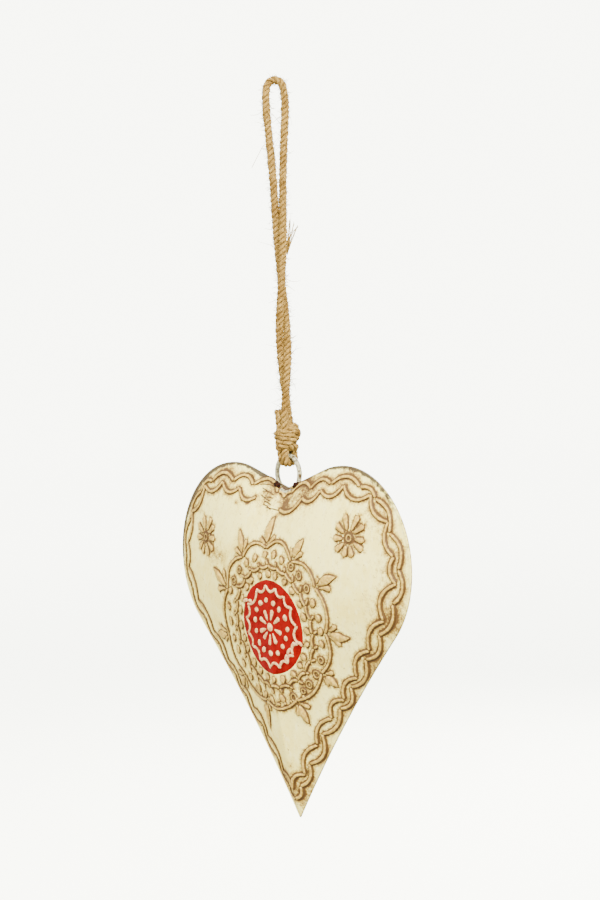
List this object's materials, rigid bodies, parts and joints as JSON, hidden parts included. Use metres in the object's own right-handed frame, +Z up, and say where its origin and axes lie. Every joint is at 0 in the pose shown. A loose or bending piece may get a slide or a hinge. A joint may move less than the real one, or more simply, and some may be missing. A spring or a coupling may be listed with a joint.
{
  "type": "hanging heart ornament",
  "caption": "Puffed tin heart with raised folk piping and a red enamel disc, hung by a wire ring from a knotted, twisted jute loop.",
  "frame": {"origin": "inside top of the cord's eye, where it rests on its nail or hook, in the middle of the eye's thickness", "axes": "+Z is up along the hanging cord, -Y is the decorated front of the heart, +X is the heart's right as seen from the front"},
  "size_m": [0.152, 0.0252, 0.3043],
  "materials": {
    "jute": "rough natural fibre",
    "tinned_wire": "dull, lime-washed",
    "solder": "dark, oxidised",
    "cream_tin": "chalky cream paint with a brown wash",
    "red_enamel": "semi-gloss",
    "tan_piping": "tan over cream, with brown edges"
  },
  "bodies": {
    "cord": {"cord_loop": "jute"},
    "knot": {"knot": "jute", "bight": "jute", "tails": "jute"},
    "heart": {"hanging_ring": "tinned_wire", "ring_solder": "solder", "front_shell": "cream_tin", "back_shell": "cream_tin", "medallion_enamel": "red_enamel", "medallion_points": "tan_piping", "medallion_petals": "tan_piping", "medallion_dots": "tan_piping", "inner_pearls": "tan_piping", "inner_lace": "tan_piping", "outer_pearls": "tan_piping", "outer_lace": "tan_piping", "lace_sprigs": "tan_piping", "right_flower": "tan_piping", "left_flower": "tan_piping", "border_outer_strand": "tan_piping", "border_inner_strand": "tan_piping"}
  },
  "joints": [
    {"name": "cord_twist", "type": "hinge", "parent": "cord", "child": "knot", "pos_m": [0, 0, -0.1395], "axis": [0, 0, 1], "range_deg": [-180, 180]},
    {"name": "heart_swing", "type": "hinge", "parent": "knot", "child": "heart", "pos_m": [0, 0, -0.1519], "axis": [1, 0, 0], "range_deg": [-90, 90]}
  ]
}
